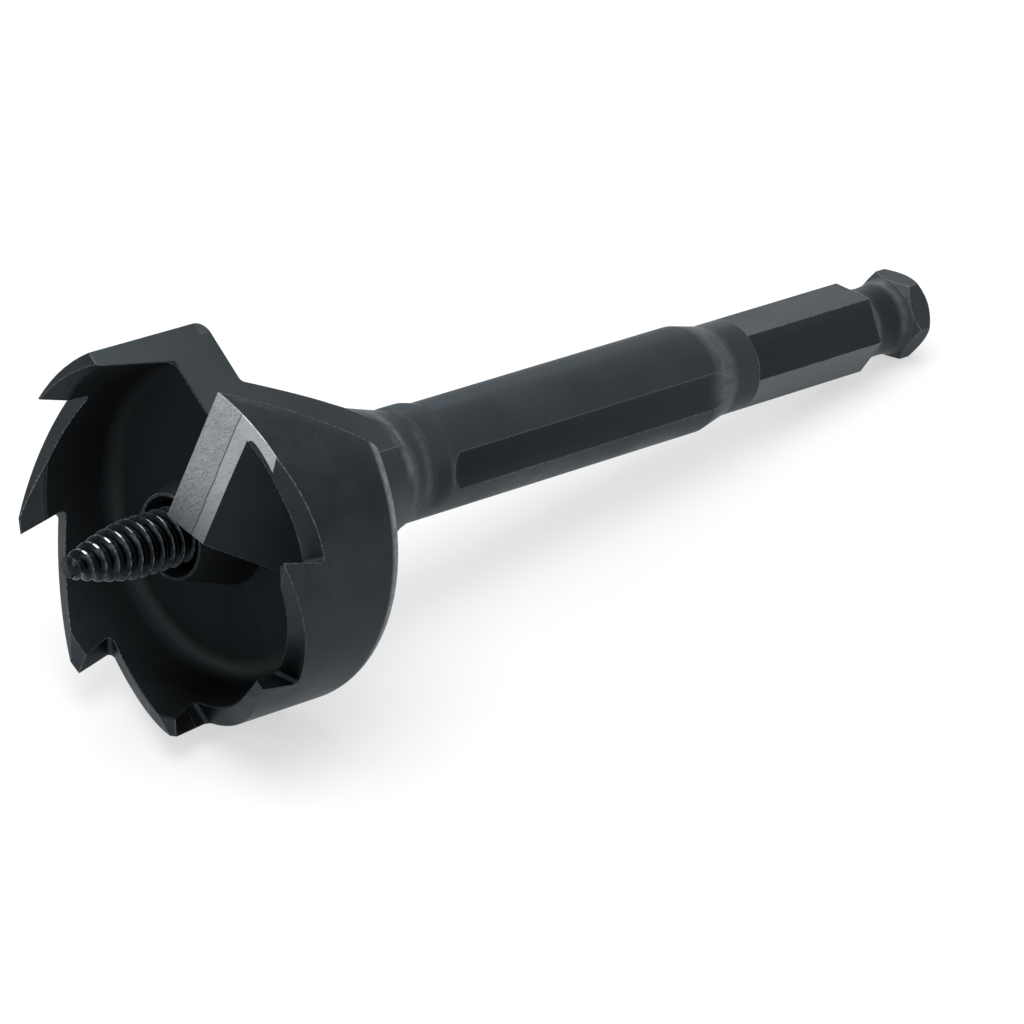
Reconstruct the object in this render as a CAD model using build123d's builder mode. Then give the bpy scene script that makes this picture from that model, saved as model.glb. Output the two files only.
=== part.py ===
from build123d import *
from math import asin, atan, cos, pi, radians, sin, sqrt, tan
import os

os.makedirs("parts", exist_ok=True)

# Self-feed bit, 2 in. All lengths are in millimetres and all angles in degrees.
# "Depth" runs back along the axis from the plane of the tooth tips (depth 0) to the drive end.
# A "front angle" is read counter-clockwise when the cutting end faces the viewer. The bit cuts that way.
INCH = 25.4

# Head: a cup with a flat back and a cone that leads down to the shank
HEAD_RADIUS = 1.0 * INCH
HEAD_DEPTH = 20.4
BACK_ROUNDING = 1.8
BACK_FLAT_RADIUS = 16.64
NECK_CORNER_ROUNDING = 0.8
CONE_SLOPE = 0.456
RIM_BORE_RADIUS = 23.5
CUP_DRAFT = 0.184
CUP_FLOOR_DEPTH = 12.3
CUP_CORNER_ROUNDING = 1.9

# Saw teeth on the rim, and the bevel that thins them from the inside
TOOTH_TIP_ANGLES = (120.5, 166.4, 211.9, 255.8, 300.9, 343.2)
TOOTH_HOOK_ANGLE = 3.4
GULLET_DEPTH = 6.8
GULLET_ROOT_RADIUS = 0.6
ROOT_SKEW = 2.6
ROOT_RISE = 1.07
GULLET_START = 7.0
GULLET_LENGTH = 16.0
RAMP_SPAN = 40.9
LAST_RAMP_END_ANGLE = 12.6
LAST_RAMP_END_DEPTH = 3.3
TIP_BEVEL_RADIUS = 25.2
TIP_BEVEL_WIDTH = 2.2
TIP_BEVEL_DEPTHS = (2.8, 2.8, 1.1, 1.1, 1.1, 1.1)
FIRST_BEVEL_TILT = 7.0
BEVEL_SWEEP = 38.0
FIRST_TOOTH_BACK_DROP = 0.65

# Lifter blade: a web from the hub to the rim with a ground cutting edge along one radius
BLADE_ANGLE = 37.5
BLADE_EDGE_DEPTH = 1.3
BLADE_RELIEF = 11.0
BLADE_LAND = 6.0
BLADE_RAKE = 0.697
WEB_BACK_WIDTH = 20.6
WEB_INNER_END = 4.4
WEB_TRAILING_END = 6.07
WEB_TRAILING_WIDTH = 7.2

# Chip window: a side opening between the blade and the first tooth
WINDOW_WALL_ANGLE = 22.1
WINDOW_WALL_OFFSET = 8.53
WINDOW_SIDE = 2.5
WINDOW_DEPTH = 32.0
RUNOUT_SIDE = 14.0
RUNOUT_DEPTH = 38.6

# Hub, bore and counterbore for the feed screw
HUB_LIP_DEPTH = 3.5
HUB_LIP_RADIUS = 5.7
HUB_FOOT_RADIUS = 8.4
HUB_MOUTH_RADIUS = 5.4
COUNTERBORE_RADIUS = 4.8
COUNTERBORE_DEPTH = 8.6
SCREW_SHANK_DIAMETER = 5 / 16 * INCH
BORE_CLEARANCE = 0.03

# Feed screw: a tapered wood thread on a plain shank with a flat for the set screw
SCREW_TIP_REACH = 13.6
SCREW_TIP_RADIUS = 1.5
THREAD_RADIUS = 3.95
THREAD_PITCH = 1.75
THREAD_TURNS = 12
THREAD_HEIGHT = 0.85
THREAD_CREST_BASE = 1.2
TAPER_SHARE = 0.57
SCREW_END_CHAMFER = 0.8
SCREW_SEAT_DEPTH = 47.5
SCREW_FLAT_START = 23.8
SCREW_FLAT_OFFSET = 2.9

# Set screw, 1/4 in, with a 1/8 in hexagon socket
SET_SCREW_ANGLE = 147.5
SET_SCREW_DEPTH = 36.0
SET_SCREW_RADIUS = 3.1
SET_SCREW_LENGTH = 6.0
SET_SCREW_CLEARANCE = 0.05
SET_SCREW_SOCKET = INCH / 8
SET_SCREW_SOCKET_DEPTH = 3.0

# Neck: a gentler taper, a shallow valley and a low forged swelling, all a little off the bit's axis
NECK_SHIFT = 0.3
NECK_SHIFT_ANGLE = 90.0
NECK_TAPER_START = 34.0
NECK_TAPER = 0.277
VALLEY_DEPTH = 42.6
VALLEY_ROUNDING = 2.5
SWELL_HEIGHT = 0.22
SWELL_START = 43.6
SWELL_END = 46.4
SWELL_FADE = 2.8
SWELL_ROUNDING = 1.5

# Shank: round and fluted, then a taper, a collar and the 7/16 in hexagon drive
SHANK_RADIUS = 7.5
TAPER_DEPTH = 97.5
COLLAR_DEPTH = 102.5
HEX_DEPTH = 107.0
HEX_ACROSS_FLATS = 7 / 16 * INCH
HEX_CORNER_ANGLE = 27.5
GROOVE_DEPTH = 132.1
GROOVE_WIDTH = 7.4
GROOVE_RADIUS = 4.92
GROOVE_EDGE_RADIUS = 5.45
END_DEPTH = 143.5
END_FACE_RADIUS = 5.2
END_CHAMFER = 1.3
KNOB_CHAMFER = 0.9

# Flutes in the shank: the shallow one in view and the same again opposite
FLUTE_POINTS = ((7.48, -0.59), (6.35, -2.2), (5.3, -5.3))
FLUTE_DEPTH = 45.8
FLUTE_LEAD = 2.6
FLUTE_RISE = 1.7

# How it lies: on the rounded back edge of the head and the lowest flat of the drive end
HEX_CORNER_RADIUS = HEX_ACROSS_FLATS / sqrt(3)
HEX_FLAT_OFFSET = HEX_ACROSS_FLATS / 2
UP_ANGLE = HEX_CORNER_ANGLE + 30.0
END_CHAMFER_SLOPE = END_CHAMFER / (HEX_CORNER_RADIUS - END_FACE_RADIUS)
REST_FLAT_DEPTH = END_DEPTH - END_CHAMFER_SLOPE * (HEX_FLAT_OFFSET - END_FACE_RADIUS)
ROUNDING_DEPTH = HEAD_DEPTH - BACK_ROUNDING
ROUNDING_RADIUS = HEAD_RADIUS - BACK_ROUNDING
REACH = REST_FLAT_DEPTH - ROUNDING_DEPTH
DROP = ROUNDING_RADIUS - HEX_FLAT_OFFSET
LIE = atan(DROP / REACH) + asin(BACK_ROUNDING / sqrt(REACH**2 + DROP**2))

# World frame: +X towards the tip, +Z up, floor at Z 0, centred over its own length
OFF_AXIS = radians(90.0 - UP_ANGLE)
AXIS_DIR = Vector(cos(LIE), 0, sin(LIE))
X_DIR = Vector(-sin(LIE) * sin(OFF_AXIS), cos(OFF_AXIS), cos(LIE) * sin(OFF_AXIS))
Y_DIR = AXIS_DIR.cross(X_DIR)
HALF_LENGTH = (END_DEPTH - SCREW_TIP_REACH) / 2
HALF_LEAN = (END_FACE_RADIUS - SCREW_TIP_RADIUS) / 2
RIM_X = HALF_LENGTH * cos(LIE) + HALF_LEAN * sin(LIE)
RIM_Z = ROUNDING_DEPTH * sin(LIE) + ROUNDING_RADIUS * cos(LIE) + BACK_ROUNDING
RIM_CENTRE = Vector(RIM_X, 0, RIM_Z)
BIT_AXIS = Axis(RIM_CENTRE, AXIS_DIR)


def outward(angle):
    """Direction square to the axis at a front angle."""
    return X_DIR * cos(radians(angle)) + Y_DIR * sin(radians(angle))


def at_depth(depth, turn=0.0):
    """Front view plane at a depth: local x and y are the front view, local z is towards the tip."""
    return Plane(origin=RIM_CENTRE - AXIS_DIR * depth, x_dir=outward(turn), z_dir=AXIS_DIR)


def through_axis(angle):
    """Plane through the axis: local x is the radius at the front angle, local y is minus the depth."""
    return Plane(origin=RIM_CENTRE, x_dir=outward(angle), z_dir=outward(angle - 90))


def facing_out(angle, distance=0.0, depth=0.0):
    """Plane square to a radius: local x runs counter-clockwise, local y is towards the tip."""
    origin = RIM_CENTRE + outward(angle) * distance - AXIS_DIR * depth
    return Plane(origin=origin, x_dir=outward(angle + 90), z_dir=outward(angle))


def wall_x(y):
    """Front view x of the window wall at a front view y."""
    return (WINDOW_WALL_OFFSET - y * sin(radians(WINDOW_WALL_ANGLE))) / cos(radians(WINDOW_WALL_ANGLE))


def relief_depth(width):
    """Depth of the ground relief behind the cutting edge."""
    return BLADE_EDGE_DEPTH + width * tan(radians(BLADE_RELIEF))


def rim_point(radius, angle, depth):
    """Point at a radius, front angle and depth."""
    return RIM_CENTRE + outward(angle) * radius - AXIS_DIR * depth


def wedge_plane(outside, inside, start):
    """Plane square to a gullet's root line, set back inwards: local x runs roughly counter-clockwise."""
    along = (outside - inside).normalized()
    return Plane(origin=inside - along * start, x_dir=AXIS_DIR.cross(along), z_dir=along)


def rim_offset(angle, centre):
    """Sideways offset of a rim point seen along the radius at another front angle."""
    return HEAD_RADIUS * sin(radians(angle - centre))


# Web that carries the blade, before the cup is hollowed round it
with BuildPart() as blade_web:
    # Side view: cutting edge, ground land, sloping back down to below the floor, rake face
    with BuildSketch(facing_out(BLADE_ANGLE, WEB_INNER_END)):
        with BuildLine():
            Polyline(
                (0, -BLADE_EDGE_DEPTH),
                (-BLADE_LAND, -relief_depth(BLADE_LAND)),
                (-WEB_BACK_WIDTH, -CUP_FLOOR_DEPTH),
                (-WEB_BACK_WIDTH, -CUP_FLOOR_DEPTH - 1),
                (-BLADE_RAKE * (CUP_FLOOR_DEPTH + 1 - BLADE_EDGE_DEPTH), -CUP_FLOOR_DEPTH - 1),
                close=True,
            )
        make_face()
    extrude(amount=HEAD_RADIUS)
    # The trailing wall leans outwards towards the rim
    with BuildSketch(at_depth(CUP_FLOOR_DEPTH + 2, BLADE_ANGLE)):
        with BuildLine():
            Polyline(
                (WEB_INNER_END - 1, -WEB_TRAILING_WIDTH),
                (WEB_INNER_END, -WEB_TRAILING_WIDTH),
                (WEB_TRAILING_END, -WEB_BACK_WIDTH),
                (WEB_TRAILING_END, -WEB_BACK_WIDTH - 1),
                (WEB_INNER_END - 1, -WEB_BACK_WIDTH - 1),
                close=True,
            )
        make_face()
    extrude(amount=CUP_FLOOR_DEPTH + 2, mode=Mode.SUBTRACT)

# Hollow of the cup: drafted wall, rounded corner, flat floor and the flared outside of the hub
with BuildPart() as cup_hollow:
    with BuildSketch(through_axis(0)) as cup_profile:
        with BuildLine():
            Polyline(
                (0, 1),
                (RIM_BORE_RADIUS + CUP_DRAFT, 1),
                (RIM_BORE_RADIUS - CUP_DRAFT * CUP_FLOOR_DEPTH, -CUP_FLOOR_DEPTH),
                (HUB_FOOT_RADIUS, -CUP_FLOOR_DEPTH),
                (HUB_LIP_RADIUS, -HUB_LIP_DEPTH),
                (0, -HUB_LIP_DEPTH),
                close=True,
            )
        make_face()
        fillet(cup_profile.vertices().sort_by_distance((RIM_BORE_RADIUS, -CUP_FLOOR_DEPTH))[0],
               radius=CUP_CORNER_ROUNDING)
    revolve(axis=BIT_AXIS)
    add(blade_web.part, mode=Mode.SUBTRACT)

# Hollow of the chip window: right of the wall, above the side face and ahead of the rake face
with BuildPart() as window_hollow:
    with BuildSketch(at_depth(WINDOW_DEPTH)):
        with BuildLine():
            Polyline(
                (wall_x(32), 32),
                (wall_x(WINDOW_SIDE), WINDOW_SIDE),
                (45, WINDOW_SIDE),
                (45, 32),
                close=True,
            )
        make_face()
    extrude(amount=WINDOW_DEPTH + 5)
    with BuildSketch(facing_out(BLADE_ANGLE, -40)):
        with BuildLine():
            Polyline(
                (60, 6),
                (BLADE_RAKE * (BLADE_EDGE_DEPTH + 6), 6),
                (-BLADE_RAKE * (WINDOW_DEPTH + 1 - BLADE_EDGE_DEPTH), -WINDOW_DEPTH - 1),
                (60, -WINDOW_DEPTH - 1),
                close=True,
            )
        make_face()
    extrude(amount=100, mode=Mode.INTERSECT)
    # Where the cutter ran out, it left a flat on the neck
    with BuildSketch(at_depth(RUNOUT_DEPTH)):
        with BuildLine():
            Polyline(
                (wall_x(RUNOUT_SIDE), RUNOUT_SIDE),
                (wall_x(WINDOW_SIDE), WINDOW_SIDE),
                (20, WINDOW_SIDE),
                (20, RUNOUT_SIDE),
                close=True,
            )
        make_face()
    extrude(amount=RUNOUT_DEPTH - WINDOW_DEPTH + 1)

# Drive end: a turned bar with the hexagon milled over it
with BuildPart() as drive_end:
    with BuildSketch(through_axis(0)):
        with BuildLine():
            groove_end = GROOVE_DEPTH + GROOVE_WIDTH
            Polyline(
                (0, -HEX_DEPTH),
                (HEX_CORNER_RADIUS, -HEX_DEPTH),
                (HEX_CORNER_RADIUS, -GROOVE_DEPTH),
                (GROOVE_EDGE_RADIUS, -GROOVE_DEPTH),
            )
            ThreePointArc(
                (GROOVE_EDGE_RADIUS, -GROOVE_DEPTH),
                (GROOVE_RADIUS, -GROOVE_DEPTH - GROOVE_WIDTH / 2),
                (GROOVE_EDGE_RADIUS, -groove_end),
            )
            Polyline(
                (GROOVE_EDGE_RADIUS, -groove_end),
                (HEX_CORNER_RADIUS, -groove_end - KNOB_CHAMFER),
                (HEX_CORNER_RADIUS, -END_DEPTH + END_CHAMFER),
                (END_FACE_RADIUS, -END_DEPTH),
                (0, -END_DEPTH),
                (0, -HEX_DEPTH),
            )
        make_face()
    revolve(axis=BIT_AXIS)
    with BuildSketch(at_depth(END_DEPTH + 1)):
        RegularPolygon(radius=HEX_CORNER_RADIUS, side_count=6, rotation=HEX_CORNER_ANGLE)
    extrude(amount=END_DEPTH - HEX_DEPTH + 2, mode=Mode.INTERSECT)

# Bit body: cup, teeth, blade, hub, neck, shank and drive end in one piece of steel
with BuildPart() as bit_body:
    cone_end = HEAD_DEPTH + (BACK_FLAT_RADIUS - SHANK_RADIUS) / CONE_SLOPE
    with BuildSketch(through_axis(0)) as outline:
        with BuildLine():
            Polyline(
                (0, 0),
                (HEAD_RADIUS, 0),
                (HEAD_RADIUS, -HEAD_DEPTH),
                (BACK_FLAT_RADIUS, -HEAD_DEPTH),
                (SHANK_RADIUS, -cone_end),
                (SHANK_RADIUS, -TAPER_DEPTH),
                (HEX_CORNER_RADIUS, -COLLAR_DEPTH),
                (HEX_CORNER_RADIUS, -HEX_DEPTH),
                (0, -HEX_DEPTH),
                close=True,
            )
        make_face()
        fillet(outline.vertices().sort_by_distance((HEAD_RADIUS, -HEAD_DEPTH))[0], radius=BACK_ROUNDING)
        fillet(outline.vertices().sort_by_distance((BACK_FLAT_RADIUS, -HEAD_DEPTH))[0],
               radius=NECK_CORNER_ROUNDING)
    revolve(axis=BIT_AXIS)

    # Forged neck between the cone and the shank
    neck_plane = Plane(RIM_CENTRE + outward(NECK_SHIFT_ANGLE) * NECK_SHIFT, outward(0), outward(-90))
    with BuildSketch(neck_plane) as neck:
        with BuildLine():
            Polyline(
                (0, -NECK_TAPER_START),
                (SHANK_RADIUS + NECK_TAPER * (VALLEY_DEPTH - NECK_TAPER_START), -NECK_TAPER_START),
                (SHANK_RADIUS, -VALLEY_DEPTH),
                (SHANK_RADIUS + SWELL_HEIGHT, -SWELL_START),
                (SHANK_RADIUS + SWELL_HEIGHT, -SWELL_END),
                (SHANK_RADIUS - 2 * SWELL_HEIGHT, -SWELL_END - SWELL_FADE),
                (0, -SWELL_END - SWELL_FADE),
                close=True,
            )
        make_face()
        fillet(neck.vertices().sort_by_distance((SHANK_RADIUS, -VALLEY_DEPTH))[0], radius=VALLEY_ROUNDING)
        fillet(neck.vertices().sort_by_distance((SHANK_RADIUS + SWELL_HEIGHT, -SWELL_END))[0],
               radius=SWELL_ROUNDING)
    revolve(axis=Axis(neck_plane.origin, AXIS_DIR))

    # Bore and counterbore for the feed screw
    bore_radius = SCREW_SHANK_DIAMETER / 2 + BORE_CLEARANCE
    with BuildSketch(through_axis(0)):
        with BuildLine():
            Polyline(
                (0, -HUB_LIP_DEPTH + 0.1),
                (HUB_MOUTH_RADIUS, -HUB_LIP_DEPTH + 0.1),
                (COUNTERBORE_RADIUS, -HUB_LIP_DEPTH - 2),
                (COUNTERBORE_RADIUS, -COUNTERBORE_DEPTH),
                (bore_radius, -COUNTERBORE_DEPTH - 0.5),
                (bore_radius, -SCREW_SEAT_DEPTH),
                (0, -SCREW_SEAT_DEPTH),
                close=True,
            )
        make_face()
    revolve(axis=BIT_AXIS, mode=Mode.SUBTRACT)

    add(cup_hollow.part, mode=Mode.SUBTRACT)
    add(window_hollow.part, mode=Mode.SUBTRACT)

    # Gullets: each is a skewed wedge whose root rises inwards. One face is the hooked front of a tooth,
    # the other is the long ramp up to the next tip. The last ramp ends at the ground land of the blade.
    for tip_angle in TOOTH_TIP_ANGLES:
        is_last = tip_angle == TOOTH_TIP_ANGLES[-1]
        ramp_angle = LAST_RAMP_END_ANGLE if is_last else tip_angle + RAMP_SPAN
        ramp_depth = LAST_RAMP_END_DEPTH if is_last else 0.0
        root_angle = tip_angle - TOOTH_HOOK_ANGLE
        root_outside = rim_point(HEAD_RADIUS, root_angle, GULLET_DEPTH)
        root_inside = rim_point(HEAD_RADIUS - 3, root_angle - ROOT_SKEW, GULLET_DEPTH - ROOT_RISE)
        wedge = wedge_plane(root_outside, root_inside, GULLET_START)
        tip_xy = wedge.to_local_coords(rim_point(HEAD_RADIUS, tip_angle, 0))
        ramp_xy = wedge.to_local_coords(rim_point(HEAD_RADIUS, ramp_angle, ramp_depth))
        tip_reach = (GULLET_DEPTH + 1.5) / GULLET_DEPTH
        ramp_reach = (GULLET_DEPTH + 1.5) / (GULLET_DEPTH - ramp_depth)
        with BuildSketch(wedge) as gullet:
            with BuildLine():
                Polyline(
                    (0, 0),
                    (tip_xy.X * tip_reach, tip_xy.Y * tip_reach),
                    (ramp_xy.X * ramp_reach, ramp_xy.Y * ramp_reach),
                    close=True,
                )
            make_face()
            fillet(gullet.vertices().sort_by_distance((0, 0))[0], radius=GULLET_ROOT_RADIUS)
        extrude(amount=GULLET_LENGTH, mode=Mode.SUBTRACT)

    # Ground relief behind the cutting edge, carried out over the rim
    with BuildSketch(facing_out(BLADE_ANGLE, 18)):
        with BuildLine():
            Polyline(
                (1, 1),
                (1, -relief_depth(-1)),
                (-13, -relief_depth(13)),
                (-13, 1),
                close=True,
            )
        make_face()
    extrude(amount=12, mode=Mode.SUBTRACT)

    # The first tooth has a nearly flat back that ends at the window
    back_centre = TOOTH_TIP_ANGLES[0] - 14
    back_start = rim_offset(TOOTH_TIP_ANGLES[0], back_centre)
    with BuildSketch(facing_out(back_centre, 18)):
        with BuildLine():
            Polyline(
                (back_start, 0),
                (-back_start - 1.5, -FIRST_TOOTH_BACK_DROP * (back_start + 0.75) / back_start),
                (-back_start - 1.5, 1),
                (back_start, 1),
                close=True,
            )
        make_face()
    extrude(amount=12, mode=Mode.SUBTRACT)

    # Bevel that thins each tooth from the inside. On the first tooth it is ground on a slant and fades out
    # towards the window.
    for tip_angle, bevel_depth in zip(TOOTH_TIP_ANGLES, TIP_BEVEL_DEPTHS):
        tilt = radians(FIRST_BEVEL_TILT) if tip_angle == TOOTH_TIP_ANGLES[0] else 0.0
        bevel_axis = AXIS_DIR * cos(tilt) + outward(tip_angle + 90) * sin(tilt)
        slope = TIP_BEVEL_WIDTH / bevel_depth
        with BuildSketch(Plane(RIM_CENTRE, outward(tip_angle), outward(tip_angle).cross(bevel_axis))):
            with BuildLine():
                Polyline(
                    (TIP_BEVEL_RADIUS + slope * 1.5, 1.5),
                    (TIP_BEVEL_RADIUS - TIP_BEVEL_WIDTH, -bevel_depth),
                    (RIM_BORE_RADIUS - 3, -bevel_depth),
                    (RIM_BORE_RADIUS - 3, 1.5),
                    close=True,
                )
            make_face()
        revolve(axis=Axis(RIM_CENTRE, bevel_axis), revolution_arc=-BEVEL_SWEEP, mode=Mode.SUBTRACT)

    # Shallow flutes with a rounded start, running out through the taper
    for turn in (0, 180):
        section = FLUTE_POINTS
        lift = (FLUTE_RISE * cos(radians(-25)), FLUTE_RISE * sin(radians(-25)))
        with BuildSketch(at_depth(COLLAR_DEPTH, turn)):
            with BuildLine():
                ThreePointArc(*section)
                Polyline(section[2], (6.7, -6.7), (9.8, -4.2), (9.2, -0.73), section[0])
            make_face()
        extrude(amount=COLLAR_DEPTH - FLUTE_DEPTH - FLUTE_LEAD, mode=Mode.SUBTRACT)
        with BuildSketch(at_depth(FLUTE_DEPTH + FLUTE_LEAD, turn)):
            with BuildLine():
                ThreePointArc(*section)
                Polyline(section[2], (6.7, -6.7), (9.8, -4.2), (9.2, -0.73), section[0])
            make_face()
        with BuildSketch(at_depth(FLUTE_DEPTH, turn)):
            with BuildLine():
                raised = [(x + lift[0], y + lift[1]) for x, y in section]
                ThreePointArc(*raised)
                corners = [(x + lift[0], y + lift[1]) for x, y in ((6.7, -6.7), (9.8, -4.2), (9.2, -0.73))]
                Polyline(raised[2], *corners, raised[0])
            make_face()
        loft(mode=Mode.SUBTRACT)

    # Hole for the set screw, from the neck into the bore
    with BuildSketch(facing_out(SET_SCREW_ANGLE, SCREW_FLAT_OFFSET, SET_SCREW_DEPTH)):
        Circle(SET_SCREW_RADIUS + SET_SCREW_CLEARANCE)
    extrude(amount=12, mode=Mode.SUBTRACT)

    add(drive_end.part)

bit_body.part.label = "bit_body"
export_step(bit_body.part, "parts/bit_body.step")

# Feed screw: the crests follow a rounded taper and then run level. Each turn is drawn as one ridge.
thread_length = THREAD_PITCH * THREAD_TURNS
taper_length = TAPER_SHARE * thread_length


def crest_radius(travel):
    """Radius of the thread crest at a distance back from the tip."""
    rise = min(travel / taper_length, 1.0)
    return SCREW_TIP_RADIUS + (THREAD_RADIUS - SCREW_TIP_RADIUS) * sin(rise * pi / 2)


ridge_points = []
for turn_index in range(THREAD_TURNS):
    crest_travel = (turn_index + 0.5) * THREAD_PITCH
    for travel, height in (
        (crest_travel - THREAD_CREST_BASE / 2, THREAD_HEIGHT),
        (crest_travel, 0.0),
        (crest_travel + THREAD_CREST_BASE / 2, THREAD_HEIGHT),
    ):
        ridge_points.append((crest_radius(travel) - height, SCREW_TIP_REACH - travel))

with BuildPart() as feed_screw:
    with BuildSketch(through_axis(0)):
        with BuildLine():
            Polyline(
                (0, SCREW_TIP_REACH),
                (SCREW_TIP_RADIUS, SCREW_TIP_REACH),
                *ridge_points,
                (SCREW_SHANK_DIAMETER / 2, SCREW_TIP_REACH - thread_length - 0.9),
                (SCREW_SHANK_DIAMETER / 2, -SCREW_SEAT_DEPTH + SCREW_END_CHAMFER),
                (SCREW_SHANK_DIAMETER / 2 - SCREW_END_CHAMFER, -SCREW_SEAT_DEPTH),
                (0, -SCREW_SEAT_DEPTH),
                close=True,
            )
        make_face()
    revolve(axis=BIT_AXIS)
    # Flat for the set screw
    with BuildSketch(facing_out(SET_SCREW_ANGLE, SCREW_FLAT_OFFSET, SCREW_SEAT_DEPTH)):
        with Locations((0, (SCREW_SEAT_DEPTH - SCREW_FLAT_START) / 2)):
            Rectangle(10, SCREW_SEAT_DEPTH - SCREW_FLAT_START)
    extrude(amount=3, mode=Mode.SUBTRACT)

feed_screw.part.label = "feed_screw"
export_step(feed_screw.part, "parts/feed_screw.step")

# Set screw: its point bears on the flat of the feed screw
with BuildPart() as set_screw:
    with BuildSketch(facing_out(SET_SCREW_ANGLE, SCREW_FLAT_OFFSET, SET_SCREW_DEPTH)):
        Circle(SET_SCREW_RADIUS)
    extrude(amount=SET_SCREW_LENGTH)
    chamfer(set_screw.edges().filter_by(GeomType.CIRCLE), length=0.5)
    with BuildSketch(facing_out(SET_SCREW_ANGLE, SCREW_FLAT_OFFSET + SET_SCREW_LENGTH, SET_SCREW_DEPTH)):
        RegularPolygon(radius=SET_SCREW_SOCKET / sqrt(3), side_count=6)
    extrude(amount=-SET_SCREW_SOCKET_DEPTH, mode=Mode.SUBTRACT)

set_screw.part.label = "set_screw"
export_step(set_screw.part, "parts/set_screw.step")
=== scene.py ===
# %% [markdown]
# # A self-feed bit in black oxide and ground steel
# A self-feed bit bores wide holes in framing timber. A tapered screw pulls it in, saw teeth cut the rim of
# the hole and a wide blade lifts the waste. Nearly all of it is dark steel, so its looks rest on three
# things: where the grinder went through the black skin, how edges and curves catch the light, and the thread
# of the feed screw. The CAD parts come in first and stay where they are.

# %% Load the CAD parts
import bpy
import numpy as np
from collections import namedtuple
from math import asin, atan, cos, degrees, pi, radians, sin, sqrt, tan
from mathutils import Matrix, Vector


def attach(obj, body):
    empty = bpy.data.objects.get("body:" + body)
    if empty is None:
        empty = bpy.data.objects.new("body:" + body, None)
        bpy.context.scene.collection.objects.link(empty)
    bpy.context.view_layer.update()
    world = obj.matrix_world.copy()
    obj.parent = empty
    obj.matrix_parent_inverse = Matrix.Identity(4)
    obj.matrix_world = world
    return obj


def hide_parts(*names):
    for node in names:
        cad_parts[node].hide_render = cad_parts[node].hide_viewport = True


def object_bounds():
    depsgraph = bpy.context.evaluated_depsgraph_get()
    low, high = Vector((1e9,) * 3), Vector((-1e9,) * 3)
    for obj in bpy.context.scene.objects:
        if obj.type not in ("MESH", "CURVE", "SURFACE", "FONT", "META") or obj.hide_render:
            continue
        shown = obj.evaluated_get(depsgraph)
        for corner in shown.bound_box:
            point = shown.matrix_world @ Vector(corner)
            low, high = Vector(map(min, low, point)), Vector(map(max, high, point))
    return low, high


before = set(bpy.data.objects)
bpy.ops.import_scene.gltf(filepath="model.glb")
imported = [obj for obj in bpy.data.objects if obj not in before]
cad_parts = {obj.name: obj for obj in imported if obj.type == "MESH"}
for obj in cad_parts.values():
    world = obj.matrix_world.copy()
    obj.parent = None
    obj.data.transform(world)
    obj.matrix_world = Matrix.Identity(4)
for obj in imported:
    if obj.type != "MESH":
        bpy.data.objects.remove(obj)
cad_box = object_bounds()
scene = bpy.context.scene
MM = 0.001


def in_mm(corners):
    """The corners of a box in millimetres, to one decimal, for printing."""
    return [[round(v / MM, 1) for v in corner] for corner in corners]


print("CAD parts:", sorted(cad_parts))
print("CAD box, mm:", in_mm(cad_box))

# %% [markdown]
# ## The bit's own frame
# The bit lies on the floor at a slant, on the back edge of its head and the hexagon of its drive end, but
# its teeth, blade and thread follow its own axis. Finishes and camera are easier to place in a frame that
# belongs to the bit: x and y in the plane of the tooth tips, and z forward to the screw's tip. How far a
# point lies behind the tooth tips is called its depth. The frame could be read off the CAD mesh, but it is
# exact when it is worked out from how the bit lies, with the same lengths as the CAD parts.

# %% The lengths that the bit rests on, in millimetres
INCH = 25.4
HEAD_RADIUS = 25.4
ROUNDING_DEPTH, BACK_ROUNDING = 18.6, 1.8  # where the head's back edge starts to round, and its radius
HEX_FLAT = 7 / 32 * INCH  # from the axis to a flat, and below to a corner
HEX_CORNER = 7 / 16 * INCH / sqrt(3)
END_DEPTH, END_RADIUS, END_CHAMFER = 143.5, 5.2, 1.3
TIP_REACH, TIP_RADIUS = 13.6, 1.5  # the screw's blunt tip, in front of the tooth tips
ROLL = radians(32.5)  # how far the bit is rolled about its own axis

rest_depth = END_DEPTH - END_CHAMFER / (HEX_CORNER - END_RADIUS) * (HEX_FLAT - END_RADIUS)
reach = rest_depth - ROUNDING_DEPTH
drop = HEAD_RADIUS - BACK_ROUNDING - HEX_FLAT
rise = atan(drop / reach) + asin(BACK_ROUNDING / sqrt(reach**2 + drop**2))
print("the hexagon rests", round(rest_depth, 1), "mm behind the tooth tips")
print("the axis rises", round(degrees(rise), 2), "degrees")

# %% The bit's axis and its two side directions
bit_z = Vector((cos(rise), 0, sin(rise)))
bit_x = Vector((-sin(rise) * sin(ROLL), cos(ROLL), cos(rise) * sin(ROLL)))
bit_y = bit_z.cross(bit_x)
bit_axes = Matrix((bit_x, bit_y, bit_z)).transposed()
rim_centre = Vector((
    (END_DEPTH - TIP_REACH) / 2 * cos(rise) + (END_RADIUS - TIP_RADIUS) / 2 * sin(rise),
    0,
    ROUNDING_DEPTH * sin(rise) + (HEAD_RADIUS - BACK_ROUNDING) * cos(rise) + BACK_ROUNDING,
)) * MM

print("centre of the rim, mm:", [round(v / MM, 2) for v in rim_centre])

# %% [markdown]
# ## The camera
# A long lens a long way off, as in a catalogue picture: 0.83 m from the teeth with a 230 mm lens. The camera
# could be aimed at the bit by eye, but a perspective can be fitted. Its place and its directions were fitted
# to the teeth, the blade's corner and the hexagon, so they are written in the bit's frame.

# %% Camera
LENS, SENSOR = 230.11, 36.0
NEAREST, FARTHEST = 0.05, 20.0  # metres
CAMERA_PLACE = (645.0, 0.0, 524.0)
CAMERA_LOOK = (-0.7407, -0.0118, -0.6717)
CAMERA_RIGHT = (0.6444, -0.2949, -0.7055)


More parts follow.
